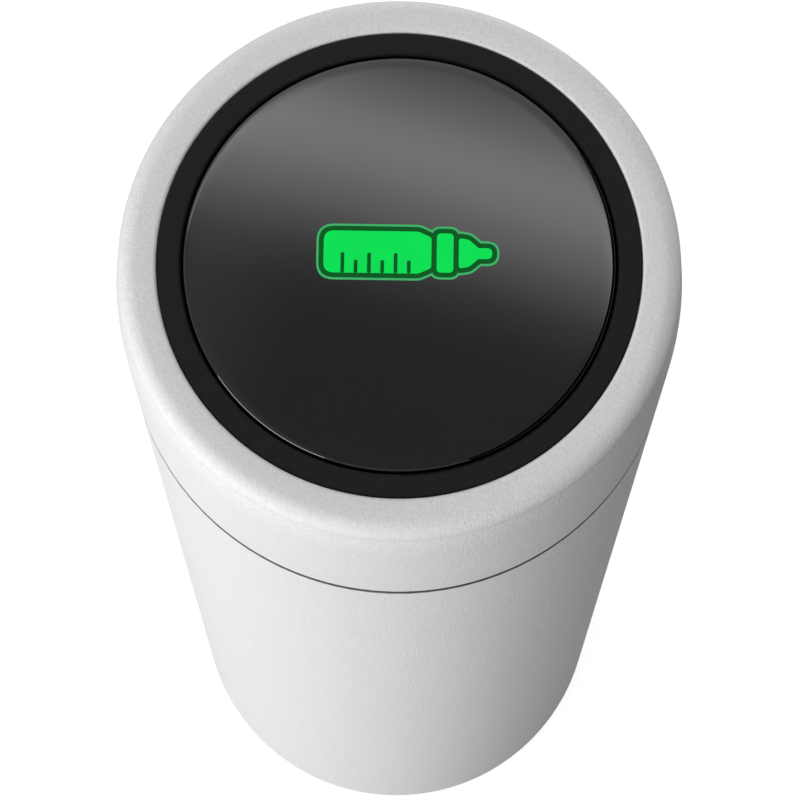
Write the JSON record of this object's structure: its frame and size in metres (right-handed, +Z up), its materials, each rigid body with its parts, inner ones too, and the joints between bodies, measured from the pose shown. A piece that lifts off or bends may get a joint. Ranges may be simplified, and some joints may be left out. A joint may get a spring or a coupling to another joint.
{
  "type": "formula preparation flask",
  "caption": "Upright insulated flask that cools boiled water for baby formula, with a screw lid, a temperature probe and a lit push lens",
  "frame": {"origin": "middle of the foot pad's underside, on the surface the flask stands on", "axes": "+Z up along the flask's axis; -Y is the front, from which the lit sign reads upright; +X to its right"},
  "size_m": [0.076, 0.076, 0.2377],
  "materials": {
    "coated_shell": "pale grey-white powder coat, fine satin grain",
    "grey_plastic": "moulded, fine texture",
    "clear_silicone": "translucent silicone",
    "foot_silicone": "matt silicone",
    "brushed_steel": "electropolished and lightly brushed",
    "aluminium": "extruded, plain",
    "phase_change_salt": "solidified white salt",
    "matte_black": "fine matt black",
    "smoked_lens": "polished, smoked",
    "lit_guide": "milky, lit green from behind",
    "dark_plastic": "moulded, plain",
    "circuit_board": "green solder mask",
    "bright_steel": "plated or polished steel",
    "lamp_white": "clear-white resin",
    "chip_black": "moulded package",
    "liner_plastic": "food-safe polypropylene, satin",
    "seal_silicone": "food-safe silicone",
    "foam": "closed-cell foam",
    "wire_cover": "insulated wire"
  },
  "bodies": {
    "flask": {"outer_shell": "coated_shell", "base_plate": "grey_plastic", "base_seal": "clear_silicone", "fill_plug": "grey_plastic", "foot_pad": "foot_silicone", "inner_vessel": "brushed_steel", "neck_collar": "grey_plastic", "neck_seal": "clear_silicone", "heat_fins": "aluminium", "salt_core": "phase_change_salt"},
    "rim_gasket": {"rim_gasket": "seal_silicone"},
    "plug_ring": {"plug_ring": "seal_silicone"},
    "lid": {"lid_shell": "coated_shell", "bezel_ring": "matte_black", "return_ring": "clear_silicone", "lid_chassis": "dark_plastic", "control_board": "circuit_board", "board_screws": "bright_steel", "status_leds": "lamp_white", "board_parts": "chip_black", "wake_switch": "chip_black", "coin_cell": "bright_steel", "battery_clip": "bright_steel", "lid_liner": "liner_plastic", "foam_insert": "foam", "probe_sleeve": "bright_steel", "probe_seal": "seal_silicone", "probe_nut": "bright_steel", "thermistor": "lamp_white", "probe_wires": "wire_cover"},
    "push_lens": {"lens": "smoked_lens", "light_mask": "matte_black", "light_guide": "lit_guide", "lens_carrier": "matte_black", "switch_plunger": "dark_plastic"}
  },
  "joints": [
    {"name": "lid_lift", "type": "slide", "parent": "flask", "child": "rim_gasket", "axis": [0, 0, 1], "range_m": [0, 0.12]},
    {"name": "lid_rise", "type": "slide", "parent": "rim_gasket", "child": "plug_ring", "axis": [0, 0, 1], "range_m": [0, 0.0061]},
    {"name": "lid_turn", "type": "hinge", "parent": "plug_ring", "child": "lid", "pos_m": [0, 0, 0.21], "axis": [0, 0, 1], "range_deg": [0, 270]},
    {"name": "lens_press", "type": "slide", "parent": "lid", "child": "push_lens", "axis": [0, 0, -1], "range_m": [0, 0.0008], "stiffness_N_per_m": 700, "springref_m": -0.0015, "deforming": ["return_ring"]}
  ],
  "couplings": [
    {"joint": "lid_rise", "follows": "lid_turn", "m_per_rad": 0.0012732}
  ]
}
